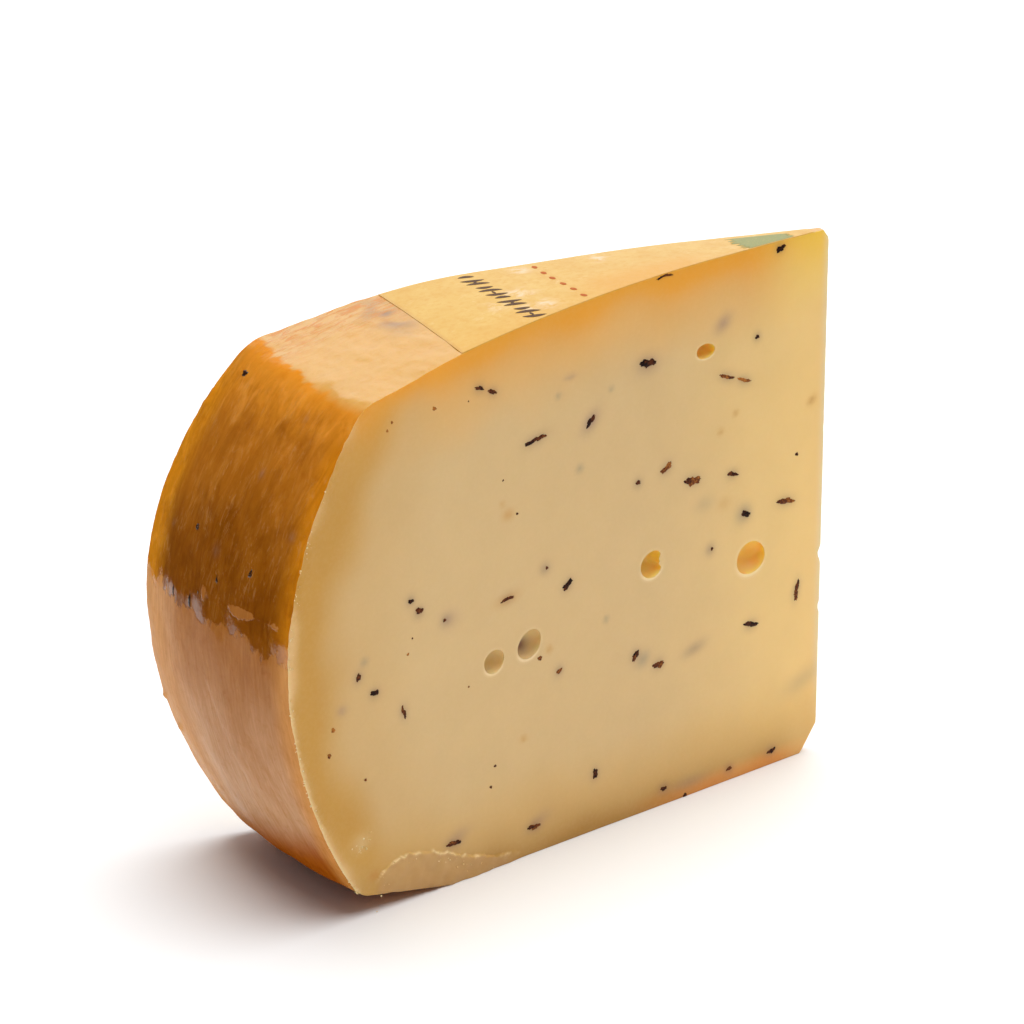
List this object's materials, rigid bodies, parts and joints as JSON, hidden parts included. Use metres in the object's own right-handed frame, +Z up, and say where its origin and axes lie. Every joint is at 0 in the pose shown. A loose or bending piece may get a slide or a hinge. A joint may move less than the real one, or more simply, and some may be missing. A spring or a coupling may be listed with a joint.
{
  "type": "truffle cheese wedge",
  "caption": "Wedge of semi-hard cow's milk cheese with truffle flakes and round eyes, glossy waxed amber rind and a paper label let into its top.",
  "frame": {"origin": "middle of the wedge's bounding box at the ground, where the flat foot stands", "axes": "+X along the wedge's middle towards its tip, so the rim faces -X; +Y across it towards the back cut; +Z up, parallel to the wheel's axis"},
  "size_m": [0.1233, 0.0478, 0.096],
  "materials": {
    "cheese": "semi-matt pale yellow paste, with a glossy amber waxed rind round its top, rim and foot",
    "label": null
  },
  "bodies": {
    "root": {"cheese_wedge": "cheese", "rind_label": "label"}
  },
  "joints": []
}
